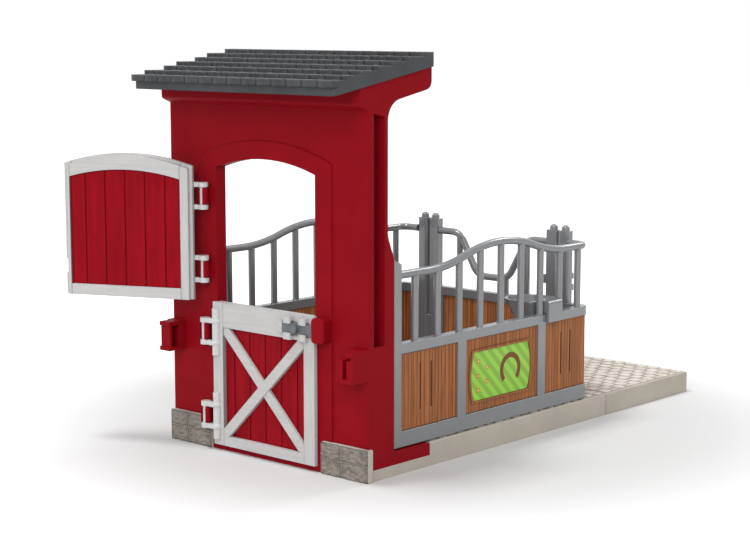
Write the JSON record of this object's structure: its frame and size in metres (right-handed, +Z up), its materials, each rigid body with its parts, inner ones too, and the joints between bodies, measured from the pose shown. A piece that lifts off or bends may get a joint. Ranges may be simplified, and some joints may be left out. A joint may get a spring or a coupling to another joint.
{
  "type": "toy horse stall",
  "caption": "Toy horse stall: red front wall with a split stable door under a tiled roof, waved grey fences with wood panels, a rear gate, a hooked feed trough and a cobbled base.",
  "frame": {"origin": "on the floor under the middle of the front wall's front face", "axes": "+X to the right seen from the front, +Y to the back, +Z up"},
  "size_m": [0.1639, 0.2937, 0.1861],
  "materials": {
    "red_plastic": "satin",
    "slate_plastic": "matt",
    "stone_plastic": "matt",
    "white_plastic": "satin",
    "grey_plastic": "satin",
    "brown_plastic": "matt, wood grain",
    "printed_sticker": "printed film"
  },
  "bodies": {
    "stall": {"base_front": "stone_plastic", "base_rear": "stone_plastic", "bolt_catch": "red_plastic", "connector_left": "red_plastic", "connector_right": "red_plastic", "fence_sticker": "printed_sticker", "front_wall": "red_plastic", "left_corner_post": "grey_plastic", "left_fence_frame": "grey_plastic", "left_fence_panel_front": "brown_plastic", "left_fence_panel_middle": "brown_plastic", "left_fence_panel_rear": "brown_plastic", "right_corner_post": "grey_plastic", "right_fence_frame": "grey_plastic", "right_fence_panel_front": "brown_plastic", "right_fence_panel_middle": "brown_plastic", "right_fence_panel_rear": "brown_plastic", "roof": "slate_plastic"},
    "upper_door": {"upper_door_frame": "white_plastic", "upper_door_panel": "red_plastic", "upper_door_hinges": "white_plastic"},
    "lower_door": {"lower_door_frame": "white_plastic", "lower_door_panel": "red_plastic", "lower_door_hinges": "white_plastic"},
    "lower_bolt": {"lower_bolt": "grey_plastic"},
    "gate": {"gate_frame": "grey_plastic", "gate_panel": "brown_plastic"},
    "gate_bolt": {"gate_bolt": "grey_plastic"},
    "trough": {"feed_trough": "grey_plastic"}
  },
  "joints": [
    {"name": "upper_door_hinge", "type": "hinge", "parent": "stall", "child": "upper_door", "pos_m": [-0.0366, -0.004, 0.07], "axis": [0, 0, 1], "range_deg": [-15, 156]},
    {"name": "lower_door_hinge", "type": "hinge", "parent": "stall", "child": "lower_door", "pos_m": [-0.0366, -0.004, 0.07], "axis": [0, 0, -1], "range_deg": [0, 140]},
    {"name": "lower_bolt_slide", "type": "slide", "parent": "lower_door", "child": "lower_bolt", "axis": [1, 0, 0], "range_m": [0, 0.005]},
    {"name": "gate_hinge", "type": "hinge", "parent": "stall", "child": "gate", "pos_m": [-0.0391, 0.1663, 0.04], "axis": [0, 0, 1], "range_deg": [0, 100]},
    {"name": "gate_bolt_slide", "type": "slide", "parent": "gate", "child": "gate_bolt", "axis": [1, 0, 0], "range_m": [0, 0.0032]},
    {"name": "trough_lift", "type": "slide", "parent": "stall", "child": "trough", "axis": [0, 0, 1], "range_m": [0, 0.012]}
  ]
}
